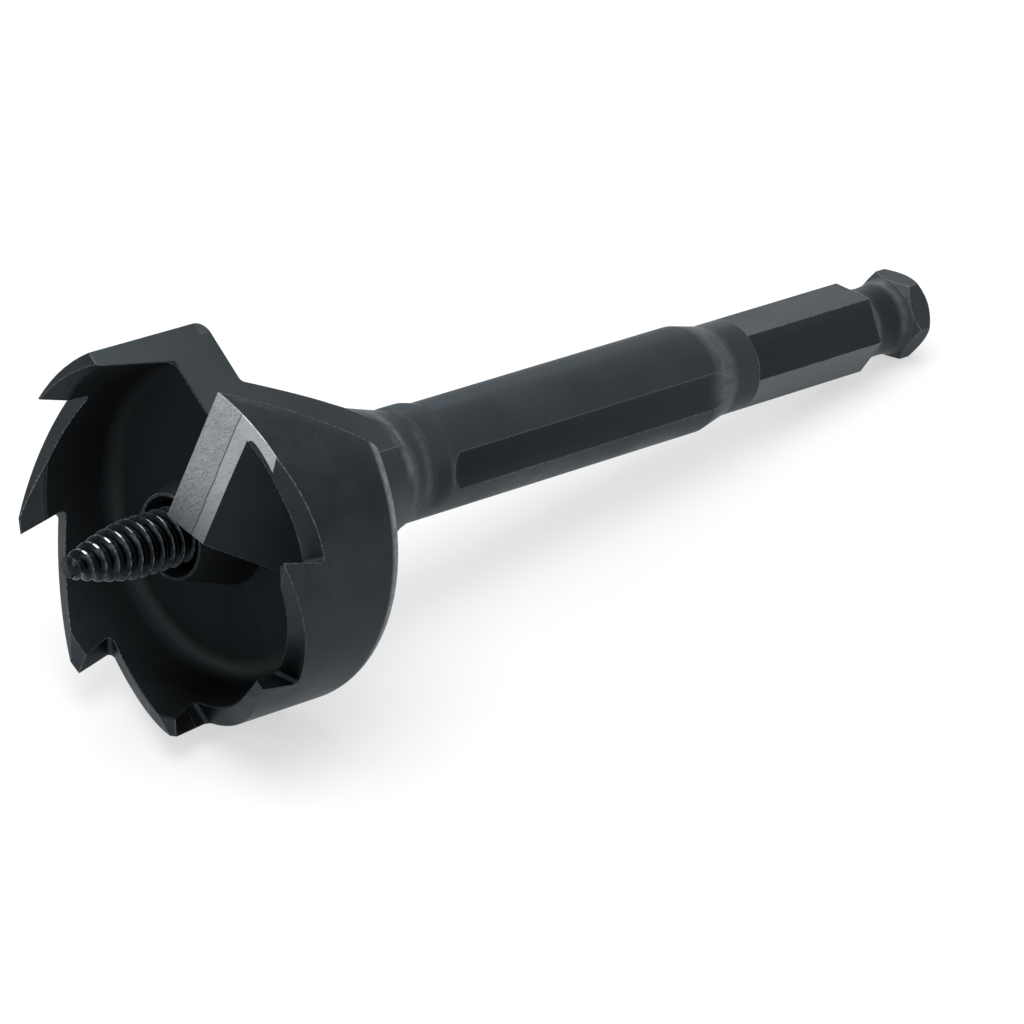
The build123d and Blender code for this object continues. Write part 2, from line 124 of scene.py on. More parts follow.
def from_bit(x, y, z):
    """A point given in millimetres in the bit's frame, in metres in the world."""
    return rim_centre + (bit_x * x + bit_y * y + bit_z * z) * MM


camera_data = bpy.data.cameras.new("camera")
camera_data.lens, camera_data.sensor_width = LENS, SENSOR
camera_data.clip_start, camera_data.clip_end = NEAREST, FARTHEST
camera = bpy.data.objects.new("camera", camera_data)
scene.collection.objects.link(camera)
scene.camera = camera

look = (bit_axes @ Vector(CAMERA_LOOK)).normalized()
right = bit_axes @ Vector(CAMERA_RIGHT)
right = (right - look * right.dot(look)).normalized()
turned = Matrix((right, right.cross(look), -look)).transposed().to_4x4()
camera.matrix_world = Matrix.Translation(from_bit(*CAMERA_PLACE)) @ turned
print("camera at, m:", [round(v, 4) for v in camera.location])

# %% [markdown]
# ## Floor, world and lamps
# Dark steel shows its surroundings more than its own colour, so the surroundings are the real light: a white
# room and a pale floor. Lamps at a plain level add shape: a wide one overhead, a weaker one on the camera's
# left that grazes the teeth, and a strip behind that draws a thin line along the back edge. The white
# background could come from strong lamps, but they would bleach the steel. It comes from rays that go
# straight to the camera or are mirrored into it.

# %% One helper for colours and one for nodes
def to_linear(hex_colour):
    """Turns an sRGB hex value such as '8c9196' into linear red, green and blue, and an alpha of 1."""
    values = [int(hex_colour[i:i + 2], 16) / 255 for i in (0, 2, 4)]
    return tuple(v / 12.92 if v <= 0.04045 else ((v + 0.055) / 1.055) ** 2.4 for v in values) + (1.0,)


def add(tree, kind, inputs=(), **settings):
    """Adds a node with its settings and links. The inputs are numbers, colours, sockets or other nodes. They
    go to the sockets in use from the top down, or by name. A node stands for its first output in use."""
    made = tree.nodes.new("ShaderNode" + kind)
    for key, value in settings.items():
        setattr(made, key, value)
    if isinstance(inputs, dict):
        sockets, inputs = [made.inputs[key] for key in inputs], inputs.values()
    else:
        sockets = [socket for socket in made.inputs if socket.enabled]
    for socket, value in zip(sockets, inputs):
        if isinstance(value, bpy.types.Node):
            value = next(output for output in value.outputs if output.enabled)
        if isinstance(value, bpy.types.NodeSocket):
            tree.links.new(value, socket)
        else:
            socket.default_value = value
    return made


print("mid grey in linear light:", round(to_linear("808080")[0], 3))

# %% The world, and which rays see the background
WHITE = to_linear("ffffff")
ROOM_LIGHT, ROOM_STRENGTH = to_linear("f4f6f8"), 0.55


def seen_straight_or_mirrored(tree):
    """1 for rays that reach the camera straight, off a mirror-like surface or through glass."""
    path = add(tree, "LightPath").outputs
    either = add(tree, "Math", (path["Is Camera Ray"], path["Is Glossy Ray"]), operation="MAXIMUM")
    return add(tree, "Math", (either, path["Is Transmission Ray"]), operation="MAXIMUM")


world = bpy.data.worlds.new("white_room")
world.use_nodes = True
scene.world = world
room = world.node_tree
room.nodes.clear()
ambient = add(room, "Background", {"Color": ROOM_LIGHT, "Strength": ROOM_STRENGTH})
backdrop = add(room, "Background", {"Color": WHITE, "Strength": 1.0})
mixed = add(room, "MixShader", (seen_straight_or_mirrored(room), ambient, backdrop))
add(room, "OutputWorld", (mixed,))
print("world:", world.name, len(room.nodes), "nodes")

# %% Floor
HALF_WIDTH = 3.0  # metres
BOARD = to_linear("f7f7f7")
GLOW_SHARE = 0.6  # the rest of what the camera sees of the floor is lit, so the floor keeps the shadow


def new_material(name):
    """An empty node material with that name, and its node tree."""
    made = bpy.data.materials.new(name)
    made.use_nodes = True
    made.node_tree.nodes.clear()
    return made, made.node_tree


corners = [(-HALF_WIDTH, -HALF_WIDTH, 0), (HALF_WIDTH, -HALF_WIDTH, 0),
           (HALF_WIDTH, HALF_WIDTH, 0), (-HALF_WIDTH, HALF_WIDTH, 0)]
floor_mesh = bpy.data.meshes.new("floor")
floor_mesh.from_pydata(corners, [], [(0, 1, 2, 3)])
floor = bpy.data.objects.new("floor", floor_mesh)
scene.collection.objects.link(floor)

white_board, board = new_material("matt_white_board")
matt = add(board, "BsdfDiffuse", {"Color": BOARD})
glow = add(board, "Emission", {"Color": WHITE, "Strength": 1.0})
glowing = add(board, "Math", (seen_straight_or_mirrored(board), GLOW_SHARE), operation="MULTIPLY")
add(board, "OutputMaterial", (add(board, "MixShader", (glowing, matt, glow)),))
floor_mesh.materials.append(white_board)
print("floor:", 2 * HALF_WIDTH, "m wide")

# %% Lamps
# name, place in metres, size in metres, watts
LAMPS = (
    ("overhead", (0.10, 0.05, 0.95), (0.9, 0.7), 7.0),
    ("camera_left", (0.95, 0.05, 0.45), (0.5, 0.5), 2.5),
    ("behind", (-0.35, -0.75, 0.50), (0.9, 0.25), 3.0),
)
middle = (cad_box[0] + cad_box[1]) / 2

for name, place, size, watts in LAMPS:
    lamp_data = bpy.data.lights.new(name, "AREA")
    lamp_data.shape, lamp_data.size, lamp_data.size_y, lamp_data.energy = "RECTANGLE", *size, watts
    lamp = bpy.data.objects.new(name, lamp_data)
    scene.collection.objects.link(lamp)
    lamp.location = place
    lamp.rotation_mode = "QUATERNION"
    lamp.rotation_quaternion = (middle - Vector(place)).to_track_quat("-Z", "Y")

# %% [markdown]
# ## Black oxide on forged steel
# Black oxide is a skin about a thousandth of a millimetre thick, made by boiling steel in an alkaline salt
# bath and oiling it. It is a satin near-black with a slightly blue cast, cloudy where the oil dried, and it
# turns lighter at glancing angles. Handling rubs it off the sharp edges first. The finish could be painted
# on the mesh, but a mask worked out from position needs no painting and leaves the CAD mesh as it is. So the
# material reads the piece's own coordinates, turned into the bit's frame, and every pattern follows the bit.

# %% The point being shaded, in the bit's frame
Measures = namedtuple("Measures", "x y depth radius")


def bit_point(tree):
    """The point being shaded, in millimetres in the bit's frame."""
    own = add(tree, "TexCoord").outputs["Object"]
    return add(tree, "Mapping", (own, rim_centre, bit_axes.to_euler(), (MM, MM, MM)), vector_type="TEXTURE")


def measured(tree, point):
    """A point's x and y, its depth behind the tooth tips, which is minus z, and its radius, the distance from
    the bit's axis, which is the root of x squared plus y squared."""
    x, y, z = add(tree, "SeparateXYZ", (point,)).outputs
    depth = add(tree, "Math", (z, -1.0), operation="MULTIPLY")
    y_squared = add(tree, "Math", (y, y), operation="MULTIPLY")
    squared = add(tree, "Math", (x, x, y_squared), operation="MULTIPLY_ADD")
    return Measures(x, y, depth, add(tree, "Math", (squared,), operation="SQRT"))


body_steel, tree = new_material("black_oxide_on_forged_steel_with_ground_blade")
point = bit_point(tree)
at = measured(tree, point)
print("coordinates:", len(tree.nodes), "nodes")

# %% How masks are put together
# A Map Range node takes a value, the two limits that it lies between, and what it becomes at each of them,
# where that isn't 0 and 1. Outside the limits it stays level.
def overlap(tree, *masks):
    """Where all of the masks hold: their product. A plain number among them weakens the result."""
    found = masks[0]
    for mask in masks[1:]:
        found = add(tree, "Math", (found, mask), operation="MULTIPLY")
    return found


def between(tree, value, low, high, soft=0.02):
    """1 where value lies between two limits, with edges that fade over a soft width."""
    rising = add(tree, "MapRange", (value, low - soft, low + soft))
    falling = add(tree, "MapRange", (value, high - soft, high + soft, 1.0, 0.0))
    return overlap(tree, rising, falling)


def toward(tree, at, angle):
    """How far a point lies from the bit's axis in the direction of an angle, in mm: x times the angle's
    cosine plus y times its sine."""
    sideways = add(tree, "Math", (at.y, sin(angle)), operation="MULTIPLY")
    return add(tree, "Math", (at.x, cos(angle), sideways), operation="MULTIPLY_ADD")


print("helpers for masks:", [made.__name__ for made in (overlap, between, toward)])

# %% [markdown]
# ## Where each finish lies
# After the black bath only the lifter blade is sharpened: its back and the strip of rim behind it are bare.
# The rest differs less: the window's wall is milled and painted a little lighter, partly as light on a face
# that looks up. The inside of the cup, the flutes, the collar below them, the hexagon's front flat and the
# groove get painted shade, and the back edge of the head gets a painted highlight. Each place could be a face
# with a material of its own, but then its border would be as sharp as the mesh. Each is also a plane, a band
# or a hollow that the CAD part already has, so a mask can find it by position, with a border as soft as it
# should be. The largest places come first, the smaller ones with the step that uses them.

# %% Mask for the ground back of the blade
BLADE_EDGE_DEPTH, BLADE_RELIEF, BLADE_ANGLE = 1.3, radians(11.0), radians(37.5)
BLADE_LAND, GROUND_REACH, GROUND_END_SLANT = 6.0, 13.83, 0.136
STRIP_NARROWING = (BLADE_LAND, 11.0, 1.2, 0.6)  # behind the land the strip is 1.2 mm to 0.6 mm narrower
APEX_PRODUCT = 0.45
WALL_RADIUS, WALL_DRAFT = 23.56, 0.184


def inner_wall(tree, at, extra):
    """Radius of the cup's inner wall at a depth, plus an extra. The wall narrows evenly with depth."""
    wall = add(tree, "Math", (at.depth, -WALL_DRAFT, WALL_RADIUS), operation="MULTIPLY_ADD")
    return add(tree, "Math", (wall, extra), operation="ADD")


def blade_back(tree, at):
    """A mask of the blade's ground back, and the distances behind its cutting edge and along it, in mm.
    Where the land meets the strip of rim, the black hollow between them has a rounded corner: a point stays
    bare where the product of its distances to the two is below a limit."""
    behind = toward(tree, at, BLADE_ANGLE - pi / 2)
    along = toward(tree, at, BLADE_ANGLE)
    plane = add(tree, "Math", (behind, tan(BLADE_RELIEF), BLADE_EDGE_DEPTH), operation="MULTIPLY_ADD")
    off_plane = add(tree, "Math", (at.depth, plane), operation="SUBTRACT")
    on_plane = between(tree, off_plane, -0.06, 0.06)
    past_edge = add(tree, "MapRange", (behind, -0.2, 0.0))
    slanted = add(tree, "Math", (along, GROUND_END_SLANT, behind), operation="MULTIPLY_ADD")
    before_end = add(tree, "MapRange", (slanted, GROUND_REACH - 0.1, GROUND_REACH + 0.1, 1.0, 0.0))

    past_land = add(tree, "Math", (behind, BLADE_LAND), operation="SUBTRACT")
    past_land = add(tree, "Math", (past_land, 0.0), operation="MAXIMUM")
    strip_edge = inner_wall(tree, at, add(tree, "MapRange", (behind, *STRIP_NARROWING)))
    inside_strip = add(tree, "Math", (strip_edge, at.radius), operation="SUBTRACT")
    inside_strip = add(tree, "Math", (inside_strip, 0.0), operation="MAXIMUM")
    product = add(tree, "Math", (past_land, inside_strip), operation="MULTIPLY")
    bare = add(tree, "Math", (product, APEX_PRODUCT), operation="LESS_THAN")
    return overlap(tree, on_plane, past_edge, before_end, bare), behind, along


blade_mask, behind_edge, along_edge = blade_back(tree, at)
print("ground land", BLADE_LAND, "mm wide, strip of rim to", GROUND_REACH, "mm behind the cutting edge")

# %% Mask for the window's milled wall
WALL_ANGLE, WALL_OFFSET, WINDOW_SIDE = radians(22.1), 8.53, 2.3
WALL_REACH, OUTLINE_REACH = 0.05, 0.30  # how far each side of the wall its two masks reach


def milled_wall(tree, at):
    """A mask of the chip window's long wall, a plane at a fixed distance from the axis, and a narrow strip
    that is its outline."""
    offset = toward(tree, at, WALL_ANGLE)
    on_side = add(tree, "Math", (at.y, WINDOW_SIDE), operation="GREATER_THAN")
    on_wall = between(tree, offset, WALL_OFFSET - WALL_REACH, WALL_OFFSET + WALL_REACH)
    near_wall = between(tree, offset, WALL_OFFSET - OUTLINE_REACH, WALL_OFFSET + OUTLINE_REACH, 0.05)
    return overlap(tree, on_wall, on_side), overlap(tree, near_wall, on_side)


wall_mask, wall_outline = milled_wall(tree, at)
print("milled wall", WALL_OFFSET, "mm from the axis")

# %% Mask for the inside of the cup
RIM_LIP, FLOOR_DEPTH = 0.4, 12.3
CUP_LOW_SIDE = radians(-100.0)


def strongest(tree, *masks):
    """Where any of the masks holds: the highest of them."""
    found = masks[0]
    for mask in masks[1:]:
        found = add(tree, "Math", (found, mask), operation="MAXIMUM")
    return found


def facing(tree, at, angle):
    """How squarely a point lies to one side of the axis: 1 in the direction of the angle, 0 across it."""
    return add(tree, "Math", (toward(tree, at, angle), at.radius), operation="DIVIDE")


def cup_inside(tree, at):
    """A mask of the inside of the cup, and the painted shade there: a third near the rim, most in its depth
    and on its low side."""
    inside = add(tree, "Math", (at.radius, inner_wall(tree, at, 0.08)), operation="LESS_THAN")
    within = overlap(tree, inside, between(tree, at.depth, RIM_LIP, FLOOR_DEPTH + 0.2, 0.05))
    low_side = add(tree, "MapRange", (facing(tree, at, CUP_LOW_SIDE), 0.80, 0.98, 0.0, 0.9))
    deeper = add(tree, "MapRange", (at.depth, 2.0, 8.0, 0.30, 0.80))
    return within, overlap(tree, within, strongest(tree, deeper, low_side))


cup_mask, cup_painted_shade = cup_inside(tree, at)
print("masks so far:", len(tree.nodes), "nodes")

# %% [markdown]
# ## Worn edges
# Black oxide wears through on outer edges first. There are two ways to find them: by how much the mesh bends
# there, which needs a fine and even mesh, or by comparing the true surface with one whose edges are rounded.
# The second works on the CAD mesh as it is. It finds inner corners too, and how open a place is to the room
# tells the two apart.

# %% Worn edges
EDGE_WIDTH = 0.22
OPEN_REACH = 1.5


def sharp_edges(tree):
    """1 on an outer edge and 0 elsewhere, and the rounded surface's normal: near an edge that normal leans
    away from the true one, and an outer edge isn't shaded by walls of its own."""
    rounded = add(tree, "Bevel", {"Radius": EDGE_WIDTH * MM}, samples=6)
    true_normal = add(tree, "NewGeometry").outputs["Normal"]
    agreement = add(tree, "VectorMath", (rounded, true_normal), operation="DOT_PRODUCT")
    leaning = add(tree, "MapRange", (agreement, 0.995, 0.90))
    openness = add(tree, "AmbientOcclusion", {"Distance": OPEN_REACH * MM}, samples=4).outputs["AO"]
    outer = add(tree, "MapRange", (openness, 0.75, 0.92))
    return overlap(tree, leaning, outer), rounded


edge_mask, round_normal = sharp_edges(tree)
print("worn edges:", EDGE_WIDTH, "mm wide")

# %% [markdown]
# ## Cloudy oxide, dried oil, painted shade and painted reflection
# A blackened forging is never one even black. Drying oil leaves lighter patches some 9 mm across, the forging
# scale under the skin is uneven at about 1.3 mm, and its grain adds specks. Thick dried oil is grey. Painted
# shade darkens the cup, the flutes and the groove, and painted reflection lightens some sides of the neck,
# the shank and the hexagon. An image could hold all this, but it would have to be laid out over every face.
# Noise worked out from position needs no layout and has no seams.
# The real grain is about a tenth of a millimetre, less than a pixel, so it is drawn 0.3 mm wide to show.

# %% Cloudy black oxide
OXIDE, OXIDE_CLOUDY = to_linear("282c2f"), to_linear("33373a")
OXIDE_SPECK, OXIDE_SHANK = to_linear("565b5e"), to_linear("3d4144")
DRYING_SIZE, SCALE_SIZE, GRAIN_SIZE = 9.0, 1.3, 0.3

drying = add(tree, "TexNoise", (point, 1 / DRYING_SIZE, 4.0, 0.55))
scale_pits = add(tree, "TexNoise", (point, 1 / SCALE_SIZE, 5.0, 0.65))
grain = add(tree, "TexNoise", (point, 1 / GRAIN_SIZE, 3.0, 0.6))

clouds = add(tree, "MapRange", (drying, 0.35, 0.7))
oxide = add(tree, "Mix", (clouds, OXIDE, OXIDE_CLOUDY), data_type="RGBA")
in_dry_places = add(tree, "MapRange", (drying, 0.42, 0.62, 0.02, 0.15))
specks = overlap(tree, add(tree, "MapRange", (grain, 0.50, 0.68)), in_dry_places)
oxide = add(tree, "Mix", (specks, oxide, OXIDE_SPECK), data_type="RGBA")
on_shank = add(tree, "MapRange", (at.depth, 32.0, 44.0, 0.0, 0.45))
oxide = add(tree, "Mix", (on_shank, oxide, OXIDE_SHANK), data_type="RGBA")
print("patches of", DRYING_SIZE, "mm, scale of", SCALE_SIZE, "mm, grain of", GRAIN_SIZE, "mm")

# %% Light bands: dried oil and scuffs, partly painted reflection on the sides that face up or down
# from and to in depth, softness, the angle it faces in degrees, the lowest facing that it reaches, strength
BLOOM_AND_REFLECTION = (
    (37.6, 39.3, 0.5, 60.0, 0.20, 0.42),
    (38.4, 40.0, 0.5, -40.0, 0.40, 0.22),
    (41.9, 42.9, 0.4, -30.0, 0.40, 0.22),
    (46.9, 47.5, 0.2, -28.0, 0.93, 0.45),
    (48.0, 72.0, 9.0, -72.0, 0.80, 0.22),
    (98.4, 102.2, 1.0, 55.0, -0.20, 0.34),
    (98.8, 102.2, 0.8, -60.0, 0.60, 0.30),
    (107.0, 131.6, 0.3, 57.5, 0.70, 0.10),
    (132.2, 133.6, 0.5, 80.0, -1.50, 0.26),
    (137.6, 138.8, 0.5, 40.0, 0.10, 0.24),
)
BAND_FADE = 0.18


def bloom_and_reflection(tree, at):
    """Light bands on the neck, the collar, the hexagon, the groove and the lower side of the shank: the
    strongest of the bands above. They are partly dried oil and scuffs, and partly painted reflection on the
    sides that face up or down."""
    bands = []
    for first, last, soft, angle, lowest, strength in BLOOM_AND_REFLECTION:
        squarely = facing(tree, at, radians(angle))
        on_side = add(tree, "MapRange", (squarely, lowest, lowest + BAND_FADE, 0.0, strength))
        bands.append(overlap(tree, between(tree, at.depth, first, last, soft), on_side))
    return strongest(tree, *bands)


print("bloom:", len(BLOOM_AND_REFLECTION), "bands")

# %% Masks for the hexagon's flats and the blade's front corner
HEX_FROM, HEX_TO = 106.8, 131.8
BLADE_RAKE, FRONT_CORNER_RADIUS = 0.697, 24.6


def hex_flat(tree, at, angle):
    """A mask of the hexagon's flat that faces an angle."""
    flat = between(tree, toward(tree, at, angle), HEX_FLAT - 0.04, HEX_FLAT + 0.04)
    return overlap(tree, flat, between(tree, at.depth, HEX_FROM, HEX_TO, 0.3))


def front_corner(tree, at, behind):
    """A soft band on the outside of the head along the blade's sloping front face, where the skin is worn.
    It fades towards the tooth tips and, more slowly, towards the back."""
    front = add(tree, "Math", (at.depth, BLADE_RAKE, -BLADE_RAKE * BLADE_EDGE_DEPTH),
                operation="MULTIPLY_ADD")
    past_front = add(tree, "Math", (behind, front), operation="SUBTRACT")
    band = between(tree, past_front, -0.2, 1.2, 0.5)
    outside = add(tree, "Math", (at.radius, FRONT_CORNER_RADIUS), operation="GREATER_THAN")
    below_tips = add(tree, "MapRange", (at.depth, 1.5, 3.5))
    fading = add(tree, "MapRange", (at.depth, 6.0, 13.0, 1.0, 0.3))
    return overlap(tree, band, outside, below_tips, fading)


print("hexagon from", HEX_FROM, "to", HEX_TO, "mm, worn corner outside", FRONT_CORNER_RADIUS, "mm")

# %% Dried oil and painted reflection on the neck, the collar and the hexagon, and dried oil on the blade's front corner
DRY_OIL_AND_PAINTED_LIGHT = to_linear("74797b")
HEX_LOW_SIDE = radians(-62.5)
FRONT_CORNER_STRENGTH = 0.14

mottled = add(tree, "MapRange", (scale_pits, 0.34, 0.64, 0.45, 1.2))
patches = overlap(tree, bloom_and_reflection(tree, at), mottled)
cloudy_flat = add(tree, "MapRange", (drying, 0.35, 0.7, 0.45, 0.53))
# Painted reflection of the floor: the hexagon's low flat is lighter
reflecting_low_flat = overlap(tree, hex_flat(tree, at, HEX_LOW_SIDE), cloudy_flat)
oxide = add(tree, "Mix", (strongest(tree, patches, reflecting_low_flat), oxide, DRY_OIL_AND_PAINTED_LIGHT), data_type="RGBA")
worn_front = overlap(tree, front_corner(tree, at, behind_edge), mottled)
dry_front = overlap(tree, worn_front, FRONT_CORNER_STRENGTH)
oxide = add(tree, "Mix", (dry_front, oxide, DRY_OIL_AND_PAINTED_LIGHT), data_type="RGBA")
print("with dried oil:", len(tree.nodes), "nodes")

# %% Mask for the flutes
SHANK_RADIUS, FLUTE_DARK_FROM, FLUTE_END = 7.5, 47.6, 97.0
FLUTE_STEEP_SIDE = radians(-8.0)


def flutes(tree, at):
    """A mask of the flutes: inside the round of the shank. It fades towards the drive end and away from each
    flute's steep side, where the painted shade is darkest."""
    inside = between(tree, at.radius, 0.0, SHANK_RADIUS - 0.06, 0.03)
    lengthwise = between(tree, at.depth, FLUTE_DARK_FROM, FLUTE_END, 0.5)
    to_drive_end = add(tree, "MapRange", (at.depth, 50.0, FLUTE_END, 0.9, 0.5))
    steepness = add(tree, "Math", (facing(tree, at, FLUTE_STEEP_SIDE),), operation="ABSOLUTE")
    to_steep_side = add(tree, "MapRange", (steepness, 0.86, 0.98, 0.75, 1.0))
    return overlap(tree, inside, lengthwise, to_drive_end, to_steep_side)


print("flutes dark from", FLUTE_DARK_FROM, "to", FLUTE_END, "mm")

# %% The milled wall, painted lighter, and painted shade in the cup, the flutes, the collar, the hexagon and the groove
OXIDE_MILLED_AND_LIT, OXIDE_IN_SHADE = to_linear("444a4d"), to_linear("1a1d1f")
UNDER_FLUTE, HEX_FRONT_SIDE = radians(-38.0), radians(-2.5)
COLLAR_FROM, COLLAR_TO = 43.8, 46.6
GROOVE_FROM, GROOVE_TO, GROOVE_RADIUS = 133.2, 137.6, 5.4
DRIVE_END_SHADE = 0.55

# The milled wall's lighter tone is partly its own and partly painted light, as it faces up; it fades with
# depth
milled = overlap(tree, wall_mask, add(tree, "MapRange", (at.depth, 0.0, 20.0, 1.0, 0.45)))
oxide = add(tree, "Mix", (milled, oxide, OXIDE_MILLED_AND_LIT), data_type="RGBA")

# Painted shade on the collar, on the side below the flute
below_flute = add(tree, "MapRange", (facing(tree, at, UNDER_FLUTE), 0.85, 0.97, 0.0, 0.5))
on_collar = overlap(tree, between(tree, at.depth, COLLAR_FROM, COLLAR_TO, 0.5), below_flute)
# Painted shade on the hexagon's flat that faces the front, and on the floor of the groove
front_flat = hex_flat(tree, at, HEX_FRONT_SIDE)
in_groove = add(tree, "Math", (at.radius, GROOVE_RADIUS), operation="LESS_THAN")
groove_floor = overlap(tree, between(tree, at.depth, GROOVE_FROM, GROOVE_TO, 0.4), in_groove)
drive_end_shade = overlap(tree, strongest(tree, front_flat, groove_floor), DRIVE_END_SHADE)
painted_shade = strongest(tree, cup_painted_shade, flutes(tree, at), on_collar, drive_end_shade)
colour = add(tree, "Mix", (painted_shade, oxide, OXIDE_IN_SHADE), data_type="RGBA")
print("with oily places:", len(tree.nodes), "nodes")

# %% The ring of light on the cup's floor
RING_FROM, RING_TO = 18.8, 20.3  # radii
RING_SIDE = radians(-150.0)

ring_strength = add(tree, "MapRange", (facing(tree, at, RING_SIDE), 0.1, 0.8, 0.0, 0.15))
ring_light = overlap(tree, cup_mask, between(tree, at.radius, RING_FROM, RING_TO, 0.6), ring_strength)
colour = add(tree, "Mix", (ring_light, colour, DRY_OIL_AND_PAINTED_LIGHT), data_type="RGBA")
print("ring from", RING_FROM, "to", RING_TO, "mm from the axis")

# %% Painted shadow on the low side
# It is deepest at the foot of the cup's wall and in the gullets there
PAINTED_LOW_SHADOW = to_linear("0a0c0e")
FOOT_SIDE, GULLET_SIDE = radians(-105.0), radians(-75.0)
GULLET_FROM, GULLET_TO = 21.0, 25.3  # radii
HEAD_TO = 20.0

at_foot = add(tree, "MapRange", (at.radius, 19.8, 21.2))
foot_low = add(tree, "MapRange", (facing(tree, at, FOOT_SIDE), 0.85, 0.98))
foot_deep = add(tree, "MapRange", (at.depth, 3.0, 8.0, 0.0, 0.8))
shaded_wall_foot = overlap(tree, cup_mask, at_foot, foot_low, foot_deep)
in_gullet = between(tree, at.radius, GULLET_FROM, GULLET_TO, 0.05)
gullet_low = add(tree, "MapRange", (facing(tree, at, GULLET_SIDE), 0.80, 0.95))
gullet_deep = add(tree, "MapRange", (at.depth, 3.2, 5.5, 0.0, 0.75))
in_head = add(tree, "Math", (at.depth, HEAD_TO), operation="LESS_THAN")
shaded_low_gullet = overlap(tree, in_gullet, gullet_low, gullet_deep, in_head)
colour = add(tree, "Mix", (strongest(tree, shaded_wall_foot, shaded_low_gullet), colour, PAINTED_LOW_SHADOW), data_type="RGBA")
print("with the deepest oil:", len(tree.nodes), "nodes")

# %% [markdown]
# ## Ground steel
# The blade's back is ground on a wheel after blackening, in two passes. The wheel leaves fine slanting lines,
# deeper pits of the forging remain, and the second pass ends in a small step. An image of scratches would
# repeat and stretch, so the lines are noise stretched along the wheel's path. The real lines are a few
# hundredths of a millimetre apart, too fine to show, so these are a quarter of a millimetre.

# %% Ground steel
GROUND_LOW, GROUND_HIGH = to_linear("8a8e91"), to_linear("a2a6a9")
GROUND_AGAIN = to_linear("b6babd")
LINE_ANGLE = radians(50.0)
LINE_WIDTH, LINE_LENGTH = 0.25, 2.0
STEP_FROM_EDGE = 4.07

across = add(tree, "Math", (behind_edge, -sin(LINE_ANGLE)), operation="MULTIPLY")
across = add(tree, "Math", (along_edge, cos(LINE_ANGLE), across), operation="MULTIPLY_ADD")
lengthwise = add(tree, "Math", (along_edge, sin(LINE_ANGLE)), operation="MULTIPLY")
lengthwise = add(tree, "Math", (behind_edge, cos(LINE_ANGLE), lengthwise), operation="MULTIPLY_ADD")
widths = add(tree, "Math", (across, 1 / LINE_WIDTH), operation="MULTIPLY")
lengths = add(tree, "Math", (lengthwise, 1 / LINE_LENGTH), operation="MULTIPLY")
lines = add(tree, "TexNoise", (add(tree, "CombineXYZ", (widths, lengths)), 1.0, 4.0, 0.7))
line_share = add(tree, "MapRange", (lines, 0.36, 0.64))
ground = add(tree, "Mix", (line_share, GROUND_LOW, GROUND_HIGH), data_type="RGBA")
second_pass = add(tree, "MapRange", (behind_edge, STEP_FROM_EDGE, STEP_FROM_EDGE + 0.2))
ground = add(tree, "Mix", (overlap(tree, second_pass, 0.35), ground, GROUND_AGAIN), data_type="RGBA")
print("ground in two passes, the step", STEP_FROM_EDGE, "mm behind the cutting edge")

# %% Pits, the shaded end at the hub, and the step between the passes
PIT, HUB_SHADE, STEP_SHADE = to_linear("565a5d"), to_linear("4c5053"), to_linear("35393c")
PIT_SIZE, WANDER_SIZE, WANDER = 0.25, 1.6, 0.35

pits = add(tree, "MapRange", (add(tree, "TexNoise", (point, 1 / PIT_SIZE, 2.0, 0.7)), 0.54, 0.66))
fewer_behind = add(tree, "MapRange", (second_pass, 0.0, 1.0, 1.0, 0.45))
fewer_outside = add(tree, "MapRange", (along_edge, 5.0, 18.0, 1.0, 0.6))
pitted = overlap(tree, pits, fewer_behind, fewer_outside)
ground = add(tree, "Mix", (pitted, ground, PIT), data_type="RGBA")
near_hub = add(tree, "MapRange", (along_edge, 4.0, 14.0, 0.68, 0.0))
ground = add(tree, "Mix", (near_hub, ground, HUB_SHADE), data_type="RGBA")
wobble = add(tree, "TexNoise", (point, 1 / WANDER_SIZE, 2.0, 0.5))
wandering = add(tree, "Math", (wobble, WANDER, behind_edge), operation="MULTIPLY_ADD")
step_line = between(tree, wandering, STEP_FROM_EDGE + 0.12, STEP_FROM_EDGE + 0.24, 0.05)
ground = add(tree, "Mix", (step_line, ground, STEP_SHADE), data_type="RGBA")
colour = add(tree, "Mix", (blade_mask, colour, ground), data_type="RGBA")
print("with the ground blade:", len(tree.nodes), "nodes")

# %% [markdown]
# ## Rubbed edges and gloss
# Packing and handling have rubbed the skin off the sharpest edges, where the bare steel shows bright. The
# head's rounded back edge gets a painted highlight in the same light colour, strongest on one side. One even
# line along each edge would look drawn, so the grain breaks it up, and it is weaker on the low side and where
# the skin is worn already. The skin itself is satin. One roughness all over would look like plastic, so the
# roughness follows the dried oil, and a very low relief keeps the highlights soft.

# %% Mask for the head's back edge
BACK_EDGE_TO, BACK_EDGE_RADIUS = 20.3, 23.7


def back_edge(tree, at):
    """A mask of the rounded back edge of the head."""
    outside = add(tree, "Math", (at.radius, BACK_EDGE_RADIUS), operation="GREATER_THAN")
    return overlap(tree, between(tree, at.depth, ROUNDING_DEPTH, BACK_EDGE_TO, 0.3), outside)


print("back edge from", ROUNDING_DEPTH, "to", BACK_EDGE_TO, "mm")

# %% Rubbed edges, and a painted highlight on the head's back edge
RUB_AND_HIGHLIGHT = to_linear("8f9497")
HEAD_LOW_SIDE, HIGHLIGHT_SIDE = radians(-80.0), radians(-10.0)

